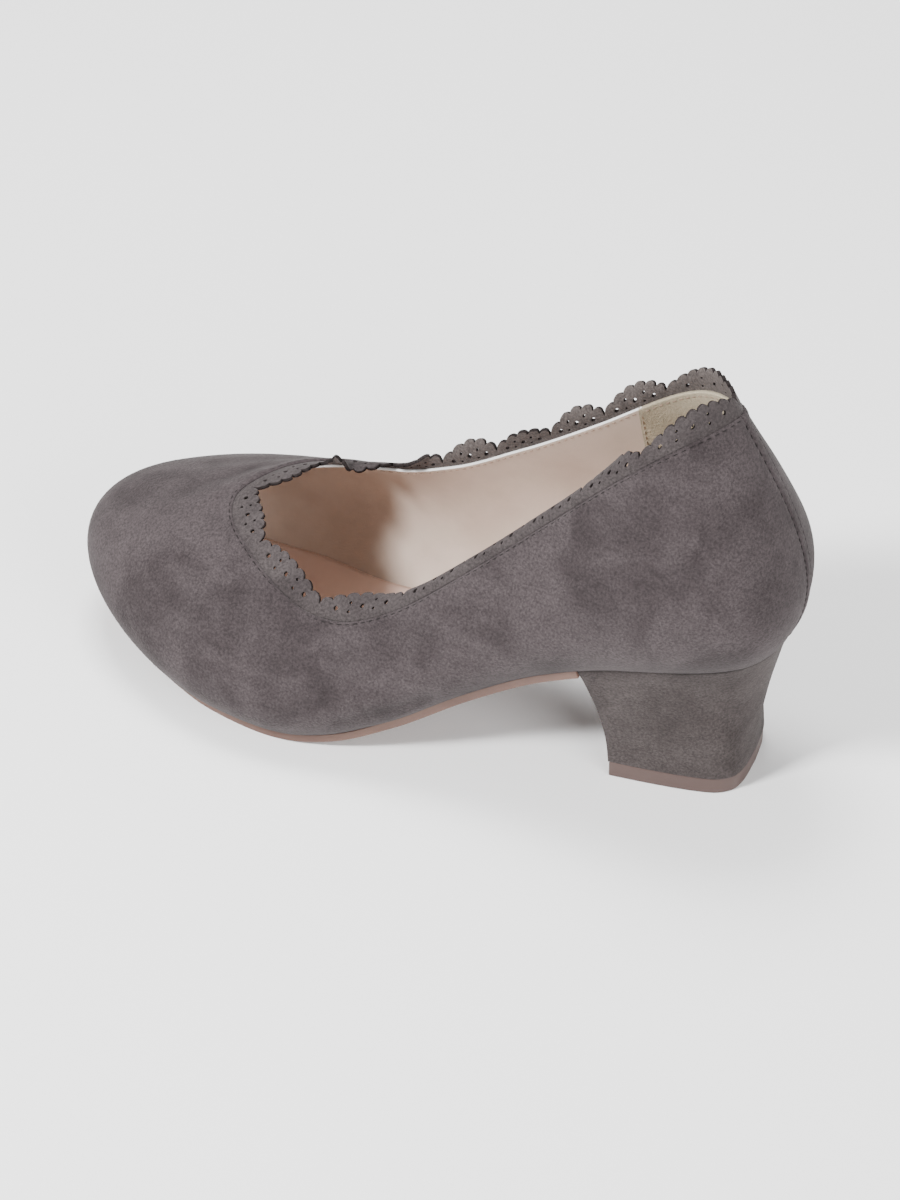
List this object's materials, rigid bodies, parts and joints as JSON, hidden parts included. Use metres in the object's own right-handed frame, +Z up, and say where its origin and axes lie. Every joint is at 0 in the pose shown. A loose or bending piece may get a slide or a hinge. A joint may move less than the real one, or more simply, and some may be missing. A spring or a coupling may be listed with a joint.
{
  "type": "dirndl pump",
  "caption": "Left suede court shoe on a covered block heel, with a scalloped, punched collar trim, leather lining, insole, thin sole and top lift.",
  "frame": {"origin": "middle of the bounding box's underside, on the floor the shoe stands on", "axes": "+X along the shoe towards the toe, +Y towards the outer (lateral) side of the foot, +Z up"},
  "size_m": [0.2454, 0.0992, 0.1469],
  "materials": {
    "upper": "brushed grey-taupe suede, cream leather inside",
    "collar_trim": "grey-taupe suede, cut edge",
    "insole": "smooth pinkish leather sock",
    "sole": "smooth tan-pink edge",
    "heel": "suede cover",
    "top_lift": "matt tan-pink"
  },
  "bodies": {
    "root": {"upper": "upper", "collar_trim": "collar_trim", "insole": "insole", "sole": "sole", "heel": "heel", "top_lift": "top_lift"}
  },
  "joints": []
}
